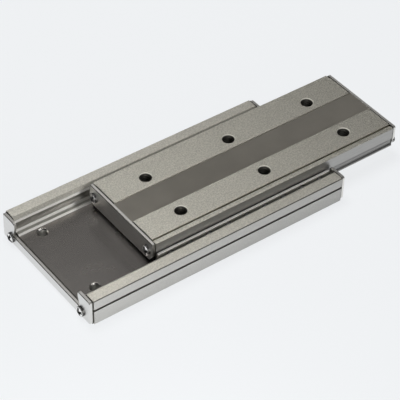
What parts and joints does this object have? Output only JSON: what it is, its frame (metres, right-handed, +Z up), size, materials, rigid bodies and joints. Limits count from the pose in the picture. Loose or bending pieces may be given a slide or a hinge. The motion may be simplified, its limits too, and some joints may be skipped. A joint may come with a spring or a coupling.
{
  "type": "linear slide",
  "caption": "Low, flat linear slide: a U-shaped steel bed in which a carriage table runs on caged steel balls, with thin end plates and tapped mounting holes.",
  "frame": {"origin": "middle of the bed's underside", "axes": "+X along the travel, towards the end that the table stands out of, +Y across, +Z up from the underside"},
  "size_m": [0.1043, 0.04, 0.01],
  "materials": {
    "bed_steel": "ground",
    "table_steel": "ground",
    "plate_steel": "cold rolled",
    "screw_steel": "bright",
    "cage_strip": "bright rolled",
    "ball_steel": "polished"
  },
  "bodies": {
    "bed": {"bed": "bed_steel", "bed_plate_left": "plate_steel", "bed_plate_right": "plate_steel", "bed_screw_left_near": "screw_steel", "bed_screw_left_far": "screw_steel", "bed_screw_right_near": "screw_steel", "bed_screw_right_far": "screw_steel"},
    "table": {"table": "table_steel", "table_plate_left": "plate_steel", "table_plate_right": "plate_steel", "table_screw_left_near": "screw_steel", "table_screw_left_far": "screw_steel", "table_screw_right_near": "screw_steel", "table_screw_right_far": "screw_steel"},
    "cage_near": {"cage_near": "cage_strip", "ball_near_01": "ball_steel", "ball_near_02": "ball_steel", "ball_near_03": "ball_steel", "ball_near_04": "ball_steel", "ball_near_05": "ball_steel", "ball_near_06": "ball_steel", "ball_near_07": "ball_steel", "ball_near_08": "ball_steel", "ball_near_09": "ball_steel"},
    "cage_far": {"cage_far": "cage_strip", "ball_far_01": "ball_steel", "ball_far_02": "ball_steel", "ball_far_03": "ball_steel", "ball_far_04": "ball_steel", "ball_far_05": "ball_steel", "ball_far_06": "ball_steel", "ball_far_07": "ball_steel", "ball_far_08": "ball_steel", "ball_far_09": "ball_steel"}
  },
  "joints": [
    {"name": "table_slide", "type": "slide", "parent": "bed", "child": "table", "axis": [1, 0, 0], "range_m": [-0.045, 0]},
    {"name": "cage_near_slide", "type": "slide", "parent": "bed", "child": "cage_near", "axis": [1, 0, 0], "range_m": [-0.0225, 0]},
    {"name": "cage_far_slide", "type": "slide", "parent": "bed", "child": "cage_far", "axis": [1, 0, 0], "range_m": [-0.0225, 0]}
  ],
  "couplings": [
    {"joint": "cage_near_slide", "follows": "table_slide", "ratio": 0.5},
    {"joint": "cage_far_slide", "follows": "table_slide", "ratio": 0.5}
  ]
}
